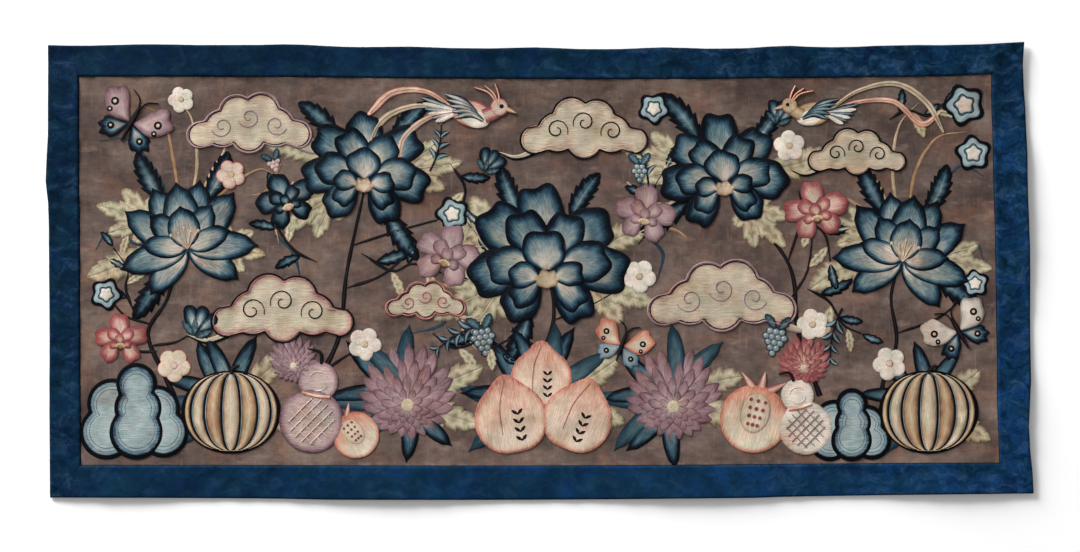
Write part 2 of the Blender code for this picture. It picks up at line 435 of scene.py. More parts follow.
def sheet_piece(name, plan, top, bottom, slot, material, shade):
    """A closed thin sheet between two grids of heights over one plan."""
    rows, columns = plan.shape
    faces = grid_faces(rows, columns) + grid_faces(rows, columns, plan.size)
    rim = grid_rim(rows, columns)
    faces += [[a, b, b + plan.size, a + plan.size] for a, b in zip(rim.tolist(), np.roll(rim, -1).tolist())]
    points = np.concatenate([to_points(plan, top), to_points(plan, bottom)])
    return make_piece(name, points.tolist(), faces, slot, [material], shade=np.tile(shade.ravel(), 2))


RIM_LOW, RIM_HIGH = 0.7, 1.65    # heights over the underside between which a solid's rim points lie


def edge_line(node, inner):
    """A strip's seam or hem in the frame: its rim points nearest to or farthest from the middle, in order."""
    spots = np.array([tuple(vertex.co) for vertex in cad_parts[node].data.vertices]) / MM
    plan = spots[:, 0] + 1j * spots[:, 1]
    height = spots[:, 2] - stand_off(plan)
    plan = plan[(height > RIM_LOW) & (height < RIM_HIGH)]
    if node in ("border_top", "border_bottom"):
        along, away = plan.real, abs(plan.imag)
    else:
        along, away = plan.imag, abs(plan.real)
    chosen = (away < (away.min() + away.max()) / 2) == inner
    return plan[chosen][np.argsort(along[chosen])]


def evenly(line, count):
    """The same line with evenly spaced points."""
    length = np.concatenate([[0], np.cumsum(abs(np.diff(line)))])
    at = np.linspace(0, length[-1], count)
    return np.interp(at, length, line.real) + 1j * np.interp(at, length, line.imag)


def smooth_line(points, count):
    """Evenly spaced places on a smooth line through the points."""
    p = np.asarray(points, complex)
    p = np.concatenate([[2 * p[0] - p[1]], p, [2 * p[-1] - p[-2]]])
    t = np.linspace(0, 1, 14, endpoint=False)
    runs = [
        ((2 * b) + (c - a) * t + (2 * a - 5 * b + 4 * c - d) * t ** 2 + (3 * b - a - 3 * c + d) * t ** 3) / 2
        for a, b, c, d in zip(p, p[1:], p[2:], p[3:])
    ]
    return evenly(np.append(np.concatenate(runs), p[-2]), count)


# -------- the ground and the damask strips

SIDES = ("top", "right", "bottom", "left")
GROUND_STEP = 4.2      # spacing of the ground cloth's points
SEAM_GAP = 0.3         # how far the ground's edge stays inside the seam
STRIP_STEP = 3         # spacing of a strip's points along it
END_OUT = 0.24         # how far its mitred ends reach out to meet the next strip's
# Puckers along a strip's seam and hem, and slanting ones between: their height and wave lengths.
SEAM_PUCKER, SEAM_WAVES = 0.16, (9, 13.5, 23)
HEM_PUCKER, HEM_WAVES = 0.12, (31, 52)
DRAG_PUCKER, DRAG_WAVE = 0.1, 37
END_SINK = 0.25        # how much lower a strip is at its mitred ends
END_SHADE = 0.86       # how light the painted shade in the mitre's groove leaves the cloth there
# A strip's section: share of its width from seam to hem, and height over its underside.
STRIP_SHARES = (0, 0.012, 0.03, 0.06, 0.1, 0.16, 0.24, 0.33, 0.42, 0.51, 0.6, 0.69, 0.78, 0.86, 0.92, 0.955,
                0.978, 0.992, 1)
STRIP_HEIGHTS = (1.25, 2, 2.45, 2.7, 2.72, 2.6, 2.5, 2.42, 2.4, 2.4, 2.4, 2.42, 2.48, 2.58, 2.66, 2.62,
                 2.4, 1.95, 1.2)


def make_ground():
    """The embroidered cloth itself, from seam to seam, drawn up a little by its stitches."""
    low, high = (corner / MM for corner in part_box("embroidered_ground"))
    columns, rows = (int(size / GROUND_STEP) for size in (high - low)[:2])
    top, right, bottom, left = (edge_line("border_" + side, True) for side in SIDES)
    across, up = np.linspace(0, 1, columns)[:, None], np.linspace(0, 1, rows)[None, :]
    x = np.linspace(low.x, high.x, columns)[:, None] + np.zeros(rows)
    y = np.linspace(low.y, high.y, rows)[None, :] + np.zeros((columns, 1))
    left, right = (np.interp(y, line.imag, line.real) for line in (left, right))
    bottom, top = (np.interp(x, line.real, line.imag) for line in (bottom, top))
    plan = left + SEAM_GAP + (right - left - 2 * SEAM_GAP) * across
    plan = plan + 1j * (bottom + SEAM_GAP + (top - bottom - 2 * SEAM_GAP) * up)
    ground = sheet_piece("ground_cloth", plan, cloth_height(plan), stand_off(plan), "brown_silk",
                         materials["ground"], np.ones(plan.shape))
    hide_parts("embroidered_ground")


def make_strip(side):
    """One damask strip: puckered along its seam, rolled at its hem and mitred at both ends."""
    node = "border_" + side
    seam, hem = edge_line(node, True), edge_line(node, False)
    length = abs(hem[-1] - hem[0])
    count = int(length / STRIP_STEP)
    seam, hem = evenly(seam, count), evenly(hem, count)
    shares = np.array(STRIP_SHARES)
    plan = seam[:, None] + (hem - seam)[:, None] * shares
    for end, inner in ((0, 1), (-1, -2)):
        way = plan[end] - plan[inner]
        plan[end] += END_OUT * way / abs(way)
    at = np.linspace(0, length, count)[:, None]
    rng = np.random.default_rng(len(side))
    seam_pucker, hem_pucker = (
        sum(np.sin(at * TURN / wave + rng.uniform(0, TURN)) for wave in waves)
        for waves in (SEAM_WAVES, HEM_WAVES))
    drag = np.sin(at * TURN / DRAG_WAVE + shares * 3 + 1)
    height = np.array(STRIP_HEIGHTS) + SEAM_PUCKER * seam_pucker * np.exp(-shares * 7) + DRAG_PUCKER * drag
    ends = np.minimum(at, length - at)
    height = height + HEM_PUCKER * hem_pucker * shares - END_SINK * np.exp(-(ends / 1.2) ** 2)
    underside = stand_off(plan)
    bottom = underside + np.where(shares > 0.999, 0.6, 0) + np.where(shares < 0.001, 0.15, 0)
    # Painted shade: near black along the rolled hem, dark along the seam, and a little darker at the mitred
    # ends where the groove is.
    shade = smoothstep((1.01 - shares) / 0.07) * smoothstep((shares + 0.01) / 0.05)
    shade = shade * (END_SHADE + (1 - END_SHADE) * smoothstep(ends / 1.5))
    top = np.maximum(underside + height, bottom + 0.3)
    strip = sheet_piece("strip_" + side, plan, top, bottom, "blue_damask", materials["damask"], shade)
    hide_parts(node)


# -------- stitching

STITCH = 0.26          # how far a row of floss stands over what it lies on
LAYER = 0.19           # how far one layer of overlapping patches stands over the next
EDGE = 1.7             # how far in from its edge a patch reaches its full height
SUNK = 0.55            # how far a patch's edges go down into the cloth
GRAIN = 2.1            # spacing of a patch's points
ROUND_MOST = 13        # radius up to which a rounded patch's threads run out from its middle


def rim_distance(plan, rim):
    """How far each place lies from the rim's nearest point."""
    rim = np.concatenate([rim, (rim[1:] + rim[:-1]) / 2])
    return abs(plan[..., None] - rim).min(-1)


class Stitching:
    """The stitches of one motif, gathered patch by patch until they become one piece."""

    def __init__(self, seed, level):
        self.rng = np.random.default_rng(seed)
        self.level = level
        self.plans, self.heights, self.shades, self.threads = [], [], [], []
        self.faces, self.floss_of_face = [], []
        self.count = 0

    def lay(self, plan, rise, shade, across, along, floss, layer, closed=False):
        """Adds a patch over a grid of places. Rows run across the threads, columns along them."""
        height = rise + (layer + self.level) * LAYER
        rows, columns = plan.shape
        numbers = np.arange(plan.size).reshape(rows, columns)
        rim = numbers[:, -1] if closed else grid_rim(rows, columns)
        upper = (self.count + rim).tolist()
        lower = (self.count + plan.size + np.arange(len(rim))).tolist()
        faces = grid_faces(rows, columns, self.count, closed)
        faces += map(list, zip(upper, upper[1:] + upper[:1], lower[1:] + lower[:1], lower))
        faces.append(lower)
        thread = np.stack([across.ravel(), along.ravel(), np.full(plan.size, self.rng.uniform(0, 100))], -1)
        self.plans += [plan.ravel(), plan.ravel()[rim]]
        self.heights += [height.ravel(), np.full(len(rim), -SUNK)]
        self.shades += [shade.ravel(), shade.ravel()[rim]]
        self.threads += [thread, thread[rim]]
        if closed:
            inner = (self.count + numbers[:, 0]).tolist()
            middle = self.count + plan.size + len(rim)
            faces += [[a, b, middle] for a, b in zip(inner, inner[1:] + inner[:1])]
            for store, values in ((self.plans, plan), (self.heights, height), (self.shades, shade)):
                store.append(values[:, 0].mean(keepdims=True))
            self.threads.append(thread[:1])
        self.count += plan.size + len(rim) + closed
        self.faces += faces
        self.floss_of_face += [floss] * len(faces)

    def piece(self, name, slot):
        """Turns what was gathered into a piece that lies on the cloth."""
        plan = np.concatenate(self.plans)
        points = to_points(plan, laid_over(plan, np.concatenate(self.heights)))
        used = sorted(set(self.floss_of_face))
        make_piece(name, points.tolist(), self.faces, slot, [materials[floss] for floss in used],
                   [used.index(floss) for floss in self.floss_of_face],
                   shade=np.concatenate(self.shades), thread=np.concatenate(self.threads))


def lay_petal(work, plan, v, length, dark, across, along, floss, layer):
    """Lays a petal, given from its root (v = 0) to its tip (1), with a dark band inside its rim."""
    distance = rim_distance(plan, np.concatenate([plan[0], plan[:, -1], plan[-1, ::-1]]))
    edge = np.minimum(distance, length * 0.9 * v + 0.4)
    inside = np.clip(distance / dark - 1, 0, 1.3) / 1.3
    shade = 0.3 * np.clip(distance / dark, 0, 1) + inside * (0.18 + 0.54 * (1 - v))
    even = np.ones(plan.shape)
    work.lay(plan, STITCH * smoothstep(edge / EDGE), shade, across * even, along * even, floss, layer)


def fan(work, root, heading, reach, spread, floss, layer, lobes=3, notch=0.05, base=0.2, bend=0):
    """A petal whose threads spread from its root to a lobed rim. Angles are in degrees."""
    half = math.radians(spread) / 2
    u = np.linspace(-1, 1, max(9, int(2 * half * reach * 0.8 / GRAIN)))[:, None]
    v = np.linspace(0, 1, max(8, int(reach / GRAIN)))[None, :]
    phase = work.rng.uniform(-0.4, 0.4)
    profile = 1 - 0.24 * abs(u) ** 3.2 + notch * np.cos(math.pi * lobes * (u + phase))
    out = reach * (base + (profile - base) * v)
    angle = math.radians(heading) + half * u * (0.66 + 0.44 * np.sin(math.pi * (0.12 + 0.74 * v)))
    plan = root + out * np.exp(1j * (angle + math.radians(bend) * v * v))
    dark = (2.2 + reach * 0.055) * (0.4 + 0.6 * v)
    lay_petal(work, plan, v, reach, dark, u * half * reach, out, floss, layer)


def petal(work, root, heading, length, width, floss, layer, bend):
    """A pointed petal or leaf whose threads run from its root to its tip."""
    count = max(14, int(length / GRAIN))
    t = np.linspace(0, 1, count)[None, :]
    u = np.linspace(-1, 1, max(9, int(width / GRAIN)))[:, None]
    way = np.exp(1j * (math.radians(heading) + math.radians(bend) * t))
    line = root + np.cumsum(way, 1) * length / count
    half = width / 2 * (0.16 + 0.84 * np.sin(math.pi * t ** 0.86) ** 0.7) * np.minimum(1, (1.02 - t) * 6)
    dark = (2 + width * 0.07) * (0.35 + 0.65 * t)
    lay_petal(work, line + 1j * way * u * half, t, length, dark, u * half, t * length, floss, layer)


def blade(work, line, width, floss, layer, shading, rise, wide=5):
    """A narrow patch along a line. Width is one number or one for each point; threads run along it."""
    way = np.gradient(line)
    way = way / np.maximum(abs(way), 1e-9)
    width = np.broadcast_to(np.asarray(width, float), line.shape)
    u = np.linspace(-1, 1, wide)[:, None]
    length = np.concatenate([[0], np.cumsum(abs(np.diff(line)))])
    even = np.ones((wide, len(line)))
    inside = (1 - abs(u)) * even
    shade = {
        "rim": np.minimum(inside * 1.1, 1),
        "tip": smoothstep(inside * 2.2) * (1 - 0.9 * length / length[-1]),
        "even": 0.15 + 0.35 * inside,
    }[shading]
    height = rise * np.sqrt(1 - (u * 0.96) ** 2) * even
    plan = line + 1j * way * u * width / 2
    work.lay(plan, height, shade, u * width.max() / 2 * even, length * even, floss, layer)


def taper(count, root, peak, tip):
    """Widths along a blade: its root's share, its tip's, and 1 at its peak's place."""
    t = np.linspace(0, 1, count)
    rise = root + (1 - root) * smoothstep(t / peak)
    fall = tip + (1 - tip) * (1 - np.clip((t - peak) / (1 - peak), 0, 1) ** 1.8)
    return np.where(t < peak, rise, fall)


def stroke(work, points, count, width, shape, floss, layer, shading="rim", rise=STITCH, wide=5):
    """A blade on a smooth line through the points, with a shape that taper takes. Returns the line."""
    line = smooth_line(points, count)
    blade(work, line, width * taper(count, *shape), floss, layer, shading, rise, wide)
    return line


def cord(work, line, thick, floss, layer, thin=0):
    """A couched cord, thinner at its ends by the share given."""
    width = thick * (1 - thin * np.linspace(-1, 1, len(line)) ** 2)
    blade(work, line, width, floss, layer, "even", thick * 0.28)


def leaf(work, root, heading, length, width, floss, layer, teeth, bend=18):
    """A toothed leaf: two rows of slanting stitches that meet at its midrib."""
    count = max(14, int(length / 1.6))
    t = np.linspace(0, 1, count)[:, None]
    way = np.exp(1j * (math.radians(heading) + math.radians(bend) * (t - 0.3)))
    line = root + np.cumsum(way, 0) * length / count
    half = width / 2 * np.sin(math.pi * t ** 0.8) ** 0.75
    half = np.maximum(half * (1 - 0.64 * half / width * (1 - (t * teeth) % 1)), 0.25)
    s = np.linspace(0, 1, max(6, int(width / 2 / GRAIN) + 2))[None, :]
    for side in (1, -1):
        plan = line + way * (0.55 + 1j * side) * half * s
        distance = rim_distance(plan, plan[:, -1])
        edge = np.minimum(distance, s * half + 0.15)
        if floss == "navy":
            shade = smoothstep(distance / (width * 0.36)) * (1 - 0.4 * t)
        else:
            veins = np.cos(TURN * teeth * t + 2.5 * s)
            shade = smoothstep(distance / (width * 0.3)) * (0.875 + 0.125 * veins)
        across = t * length * np.ones(s.shape)
        work.lay(plan, STITCH * smoothstep(edge / EDGE), shade, across, s * half, floss, layer)


def disc(work, centre, reach, floss, layer, around=36, shading="rim", squash=1, heading=0):
    """A rounded patch. Reach is a radius or a function of the angle. Squash narrows it across its heading."""
    angle = np.arange(around) * TURN / around
    out = reach(angle) if callable(reach) else np.full(around, float(reach))
    v = np.linspace(0.05, 1, max(6, int(out.max() / GRAIN)))[None, :]
    rim = out * np.exp(1j * angle)
    way = (rim.real + 1j * rim.imag * squash)[:, None] * v
    plan = centre + way * at_angle(heading)
    distance = rim_distance(plan, plan[:, -1])
    depth = np.clip(distance / (out.max() * squash), 0, 1)
    shade = {
        "rim": 0.7 * smoothstep(depth * 5) + 0.3 * smoothstep(depth * 1.4),
        "slope": smoothstep(depth * 6) * (0.9 - 0.75 * smoothstep(0.45 + 0.5 * way.real / out.max())),
        "heart": 1 - smoothstep(depth * 1.4),
    }[shading]
    across, along = (angle * out.mean())[:, None] * np.ones(v.shape), abs(way)
    if out.max() > ROUND_MOST:
        across, along = way.imag, way.real
    work.lay(plan, STITCH * smoothstep(distance / EDGE), shade, across, along, floss, layer, True)


# -------- motifs

def lobed(circles):
    """The reach, at each angle, of the outline round several circles of (place, radius)."""
    def reach(angle):
        out = np.zeros(angle.shape)
        for place, radius in circles:
            turned = place * np.exp(-1j * angle)
            root = radius ** 2 - turned.imag ** 2
            out = np.maximum(out, np.where(root > 0, turned.real + np.sqrt(np.maximum(root, 0)), 0))
        return out
    return reach


def outline(centre, reach, inset, count=90):
    """Places round a rounded patch's rim."""
    angle = np.linspace(0, TURN, count)
    return centre + (reach(angle) - inset) * np.exp(1j * angle)


# Petals: their turn from the bloom's heading (both ways, unless 0), reach, spread, root shift and layer.
PEONY_PETALS = (
    (0, 1.00, 54, 0.00, 0), (46, 1.02, 54, 0.00, 0.3), (92, 1.04, 54, 0.00, 0.6),
    (138, 0.88, 52, 0.00, 0.9), (24, 0.80, 58, -0.08, 1.5), (76, 0.80, 60, -0.08, 1.8),
    (128, 0.62, 56, -0.10, 2.1), (0, 0.62, 88, -0.20, 2.6), (72, 0.50, 66, -0.22, 2.9),
)
SMALL_PETALS = (
    (0, 1.00, 66, 0.00, 0), (70, 1.00, 66, 0.00, 0.4), (136, 0.90, 64, 0.00, 0.8),
    (36, 0.66, 66, -0.12, 1.4), (0, 0.48, 84, -0.20, 2), (80, 0.44, 66, -0.20, 2.3),
)
# The same with turn, length, width, bend and layer.
LOTUS_PETALS = (
    (24, 1.00, 0.50, -8, 0), (54, 1.04, 0.50, -10, 0.5), (92, 1.00, 0.46, 10, 1),
    (124, 0.84, 0.42, 14, 0.2), (0, 0.96, 0.56, 0, 1.6), (34, 0.72, 0.44, 10, 2.2),
    (70, 0.66, 0.36, 12, 2.6), (0, 0.62, 0.50, 0, 3.2),
)


def both_ways(petals):
    """Each petal's side and row: once if it stands straight, or else to both sides."""
    return [(side, *row) for row in petals for side in ((1, -1) if row[0] else (1,))]


def peony(work, at, size, heading, floss="indigo", heart="straw", petals=PEONY_PETALS):
    """A full bloom: rows of lobed petals that stand round a heart."""
    up = at_angle(heading) * size
    for side, turn, reach, spread, shift, layer in both_ways(petals):
        wobble, stretch = work.rng.uniform(-3, 3), work.rng.uniform(0.96, 1.05)
        fan(work, at + up * shift, heading + side * turn + wobble, size * reach * stretch, spread, floss,
            layer + 0.05 * side, lobes=2, notch=0.035, bend=side * 5)
    root = at - up * 0.34
    fan(work, root, heading, size * 0.26, 120, heart, 3.4, notch=0.08, base=0.1)
    for k in range(5):
        disc(work, root + at_angle(heading - 44 + 22 * k) * size * 0.2, 2.2, "ochre", 4.2, 10)


def small_peony(work, at, size, heading, floss, heart="ochre"):
    """A smaller bloom with fewer petals."""
    peony(work, at, size, heading, floss, heart, SMALL_PETALS)


def lotus(work, at, size, heading):
    """An open bloom of pointed petals that all spring from its foot."""
    root = at - at_angle(heading) * size * 0.3
    for side, turn, length, width, bend, layer in both_ways(LOTUS_PETALS):
        petal(work, root, heading + side * turn, size * length * 1.2, size * width * 1.15, "indigo",
              layer + 0.05 * side, side * bend)
    for k in range(5):
        tip = root + at_angle(heading - 40 + 20 * k) * size * (0.3 if k % 2 else 0.36)
        cord(work, np.linspace(root, tip, 8), 1.6, "straw", 4)
        disc(work, tip, 2.3, "ochre", 4.6, 10)


def grapes(work, at, size, heading=-80, floss="navy", rows=(1, 2, 3, 4, 3)):
    """A hanging bunch, widest near its stalk, under two small leaves, each grape with a painted highlight."""
    way = at_angle(heading) * size
    for row, count in enumerate(rows):
        for k in range(count):
            place = at + way * (0.36 * (len(rows) - row) + 0.4j * (k - (count - 1) / 2))
            layer = 0.5 * row + 0.1 * k
            disc(work, place, size * 0.25, floss, layer, 18)
            # Each grape's pale dot at its upper left is a painted highlight.
            disc(work, place + size * (-0.06 + 0.06j), size * 0.06, "pearl", layer + 1.5, 10)
    for turn in (140, 220):
        leaf(work, at + way * 0.3, heading + turn, size * 1.3, size * 0.7, "teal", 3, teeth=4)


def chrysanthemum(work, at, size, floss="mauve", heart="straw"):
    """Rings of narrow curved petals, shorter below the bloom's heart than above it."""
    rings = ((21, 1, 0.24), (17, 0.76, 0.22), (13, 0.54, 0.19), (9, 0.33, 0.15))
    for ring, (count, reach, wide) in enumerate(rings):
        for k in range(count):
            turn = 360 / count * (k + 0.5 * (ring % 2)) + work.rng.uniform(-3, 3)
            low = 0.5 - 0.5 * math.cos(math.radians(turn))
            out = at_angle(90 + turn) * size * reach * (1 - 0.24 * low) * work.rng.uniform(0.95, 1.05)
            bow = 0.1j * math.sin(math.radians(turn))
            line = [at - 0.05j * size * ring + out * share for share in (0.14, 0.6 + bow, 1)]
            layer = ring * 0.8 + 0.3 * low + 0.3 * (k % 2)
            stroke(work, line, 12, size * wide, (0.3, 0.68, 0.2), floss, layer, "tip")
    disc(work, at - 0.14j * size, size * 0.13, heart, 3.6, 18)


def blossom(work, at, size, floss="pearl", heart="ochre"):
    """A small flower of five round petals."""
    turn = work.rng.uniform(0, 360)
    for k in range(5):
        disc(work, at + at_angle(turn + 72 * k) * size * 0.52, size * 0.48, floss, 0.4 + 0.12 * k, 20)
    disc(work, at, size * 0.24, heart, 1.8, 12)


def rosette(work, at, size):
    """Nested lobed rounds, from a black rim to a pale heart."""
    turn = work.rng.uniform(0, 360)
    for k, (share, floss) in enumerate(((1, "black"), (0.84, "rock"), (0.56, "navy"), (0.42, "pearl"))):
        def reach(angle, share=share, k=k):
            return size * share * (1 + 0.13 * np.cos(5 * angle + 0.35 * k))
        disc(work, at, reach, floss, 0.9 * k, 40, heading=turn)


def bud(work, at, size, heading):
    """A bloom that is about to open: three petals in a green cup."""
    way = at_angle(heading) * size
    for turn in (30, -30, 0):
        fan(work, at - way * 0.3, heading + turn, size * 1.2, 46, "indigo", 0.8, lobes=1, notch=0.03)
    for turn in (52, -52, 14):
        leaf(work, at - way * 0.4, heading + turn, size * 0.8, size * 0.34, "teal", 1.6, teeth=3)


def parted_leaf(work, root, heading, length):
    """A broad leaf of five toothed lobes with couched veins."""
    lobes = ((58, 0.44, 0.1), (-58, 0.44, 0.1), (30, 0.72, 0.14), (-30, 0.72, 0.14), (0, 1, 0))
    for turn, share, start in lobes:
        foot = root + at_angle(heading) * length * start
        far = length * (share - start * 0.4)
        leaf(work, foot, heading + turn, far, length * 0.42 * (0.55 + 0.3 * share), "cream", 0.4 * share,
             max(3, int(far / 14)), 10 + turn * 0.2)
        vein = smooth_line([foot, foot + at_angle(heading + turn) * far * 0.7], 12)
        cord(work, vein, 1.3, "straw", 1, 0.5)


def bloom_leaves(work, at, size, creams, navies, parted):
    """Leaves that come out from behind a bloom at these angles."""
    for turn in parted:
        parted_leaf(work, at + at_angle(turn) * size * 0.45, turn, size * work.rng.uniform(1.05, 1.25))
    rows = ((creams, "cream", 84, 36, 0.55, 0, 7), (navies, "navy", 66, 28, 0.66, 0.8, 6))
    for turns, floss, length, width, out, layer, teeth in rows:
        for turn in turns:
            stretch = work.rng.uniform(0.85, 1.12)
            bend = work.rng.choice((-1, 1)) * work.rng.uniform(10, 30)
            leaf(work, at + at_angle(turn) * size * out, turn, length * stretch, width * stretch, floss,
                 layer, teeth, bend)


def fruit_leaves(work, at, length, *turns):
    """Leaves round a fruit or at a flower's foot, at these angles."""
    for number, turn in enumerate(turns):
        floss = ("cream", "navy", "teal")[number % 3]
        long = length * work.rng.uniform(0.85, 1.1)
        if floss == "cream":
            leaf(work, at + at_angle(turn) * 12, turn, long, length * 0.42, floss, 0.3 * number, 5,
                 work.rng.uniform(-20, 20))
        else:
            for lean in (-16, 16):
                petal(work, at + at_angle(turn) * 8, turn + lean, long, length * 0.25, floss,
                      0.3 * number + 0.025 * lean, lean)


def branch(work, points, thick, layer, start):
    """A dark stem, thinner towards its end. Start is its first width's share of its thickness."""
    length = sum(abs(b - a) for a, b in zip(points, points[1:]))
    count = max(12, int(length / 3))
    t = np.linspace(0, 1, count)
    width = thick * (1 - 0.55 * t) * (1 + 0.1 * np.sin(t * length / 7 + work.rng.uniform(0, TURN)))
    width = width * (start + (1 - start) * smoothstep(t * 5))
    blade(work, smooth_line(points, count), width, "bark", layer, "rim", 0.4)


def stems(work, at, *paths):
    """Dark branches, given as offsets from one place. The first is the thickest."""
    for number, path in enumerate(paths):
        branch(work, [at + point for point in path], 3.6 if number else 6, 0.2 + 0.2 * number,
               0.3 if number else 1)


def twig(work, at, size, *points):
    """A dark branch with toothed leaves at both its sides, given as offsets from one place."""
    points = [at + point for point in points]
    branch(work, points, 4, 0.2, 0.25)
    line = smooth_line(points, 40)
    way = np.gradient(line)
    for k in range(1, 6):
        n = int(39 * k / 5)
        side = 1 if k % 2 else -1
        turn = math.degrees(cmath.phase(way[n])) + side * 48 * (k < 5)
        long = size * work.rng.uniform(0.8, 1.1) * (1 - 0.07 * k)
        leaf(work, line[n], turn, long, long * 0.42, ("cream", "navy")[k % 2], 0.4 + 0.2 * k, 4, side * 18)


def grass(work, at, *paths):
    """Long curling blades, given as offsets from one place, each widest in its lower half."""
    for number, path in enumerate(paths):
        floss = ("teal", "ochre", "straw")[number % 3]
        stroke(work, [at + point for point in path], 34, 4, (0.5, 0.4, 0.1), floss, 0.15 * number, "even",
               0.24, 4)


def sprig(work, at, heading, length):
    """A curved stem with pairs of small leaves."""
    t = np.linspace(0, 1, 30)
    turn = math.radians(heading) + math.radians(30) * (t - 0.3)
    line = at + np.cumsum(np.exp(1j * turn)) * length / 30
    blade(work, line, 2.6 * taper(30, 1, 0.1, 0.3), "bark", 0, "rim", 0.6)
    for k in range(4):
        n = int(29 * (k + 1) / 4)
        long = length * 0.3 * (1 - 0.125 * k)
        for side in (1, -1):
            way = np.exp(1j * (turn[n] + side * 0.8)) * long
            stroke(work, [line[n], line[n] + way * (0.5 - 0.12j * side), line[n] + way], 12, long * 0.42,
                   (0.3, 0.5, 0.1), "navy", 0.5 + 0.1 * k)


# A cloud's round heads and a rock's rounded steps, as places and radii in shares of their size.
CLOUD_HEADS = (
    (0, 0.30), (-0.36 - 0.05j, 0.25), (0.36 - 0.03j, 0.26), (-0.16 + 0.16j, 0.24), (0.17 + 0.18j, 0.25),
    (-0.66 - 0.14j, 0.17), (0.66 - 0.13j, 0.18), (-0.14j, 0.24),
)
ROCK_STEPS = (
    ((-0.5 + 0.1j, 0.46), (-0.62 - 0.5j, 0.5)),
    ((0.42, 0.42), (0.56 - 0.5j, 0.46)),
    ((0.52j, 0.36), (0.04, 0.44), (-0.5j, 0.5)),
)


def cloud(work, at, size, way=1, rim="rose", line="black"):
    """A cloud with a trailing foot, ringed by two cords. Way is 1 or -1, the side of its foot."""
    def spot(place):
        return complex(place.real * way, place.imag) * size

    reach = lobed([(spot(place), radius * size) for place, radius in CLOUD_HEADS])
    disc(work, at, reach, "cloud", 0, 110)
    cord(work, evenly(outline(at, reach, 0.4, 120), 150), 2, rim, 0.9)
    cord(work, evenly(outline(at, reach, 2.8, 120), 150), 1.3, line, 1)
    t = np.linspace(0, 1, 44)
    for place, spin, start in ((-0.36 - 0.02j, 1, 200), (0.36, -1, -20), (0.1j, 1, 200)):
        whorl = (1 - 0.82 * t) * np.exp(1j * (math.radians(start) + spin * way * 1.3 * TURN * t))
        cord(work, at + spot(place) + 0.15 * size * whorl, 1.6, rim, 1.1, 0.5)
    for k, floss in enumerate((rim, "cloud")):
        foot = [at + spot(place) + 1.2j * k for place in (0.5 - 0.2j, 0.86 - 0.36j, 1.12 - 0.3j)]
        stroke(work, foot, 24, 0.1 * size * (1 - 0.3 * k), (0.8, 0.2, 0.05), floss, 0.6 * k - 0.9)


def rock(work, at, size):
    """A garden rock of rounded steps with thick dark rims."""
    for k, heads in enumerate(ROCK_STEPS):
        centre = at + sum(place for place, _ in heads) / len(heads) * size
        for grown, floss, layer in ((3.4, "black", 0.9 * k), (0, "rock", 0.9 * k + 0.45)):
            step = lobed([(at + place * size - centre, radius * size + grown) for place, radius in heads])
            disc(work, centre, step, floss, layer, 60)
        for inset in (5, 9):
            cord(work, outline(centre, step, inset), 1.1, "teal", layer)


def melon(work, at, wide, tall, ribs=7):
    """A ribbed fruit: crescents of floss between dark and blue cords, with a stalk."""
    t = np.linspace(-math.pi / 2, math.pi / 2, 30)
    bow, rise = wide * 0.95 * np.cos(t) ** 0.8, 0.93j * tall * np.sin(t)
    disc(work, at, wide, "black", 0, 48, squash=tall / wide)
    for k in range(ribs):
        low, high = (math.sin(1.36 * (2 * (k + end) / ribs - 1)) / math.sin(1.36) for end in (0, 1))
        width = np.maximum((high - low) * bow - 3.2, 0.4)
        blade(work, at + (low + high) / 2 * bow + rise, width, ("ochre", "straw")[k % 2], 0.7, "rim", 0.7, 7)
        if k:
            seam = (at + low * bow + rise)[2:-2]
            cord(work, seam, 2, "black", 1.8)
            cord(work, seam + 1.5, 1.1, "rock", 2)
    stalk = at + 0.9j * tall
    stroke(work, [stalk, stalk + 2 + 6j, stalk + 9 + 10j], 14, 5, (1, 0.1, 0.5), "bark", 1.6, "rim", 0.8)
    for k in (-1, 0, 1):
        stroke(work, [stalk, stalk + complex(9 * k, 3 * abs(k) - 7)], 8, 5, (0.6, 0.5, 0.1), "teal", 2.4)


def peach(work, at, size, heading):
    """A pointed fruit with a cleft and a sprig of dark stitches."""
    def reach(angle):
        off = abs(np.angle(np.exp(1j * angle)))
        return size * (1 + 0.24 * np.exp(-(off / 0.34) ** 2) - 0.08 * np.exp(-((off - math.pi) / 0.4) ** 2))

    disc(work, at, reach, "blush", 0, 44, heading=heading, shading="slope")
    way = at_angle(heading) * size
    for k in range(4):
        for side in (1, -1):
            seed = at - way * (0.62 - 0.24 * k + 0.2j)
            tip = seed + way * at_angle(48 * side) * 0.2
            stroke(work, [seed, tip], 8, size * 0.09, (0.5, 0.5, 0.2), "bark", 1.2)
    cleft = [at + way * place for place in (1.1, 0.4 + 0.25j, -0.4 + 0.3j)]
    cord(work, smooth_line(cleft, 18), 1.3, "rose", 1.1, 0.6)


def pomegranate(work, at, size, heading):
    """A round fruit with a crown, split to show its seeds."""
    way = at_angle(heading) * size
    for turn in (-28, 0, 28):
        point = [at + way * place for place in (0.7, at_angle(turn) * 1.42)]
        stroke(work, point, 12, size * 0.26, (0.9, 0.3, 0.1), "rose", 0)
    disc(work, at, size, "coral", 0.3, 40, heading=heading, shading="slope")
    disc(work, at + way * 0.18, size * 0.62, "straw", 1.3, 32, squash=0.74, heading=heading)
    for row in (-1, 0, 1):
        for k in range(4):
            seed = at + way * (0.55 - 0.24 * k + 0.22j * row * (1 - 0.12 * k))
            disc(work, seed, size * 0.09, "rose", 2.4, 10, shading="heart")


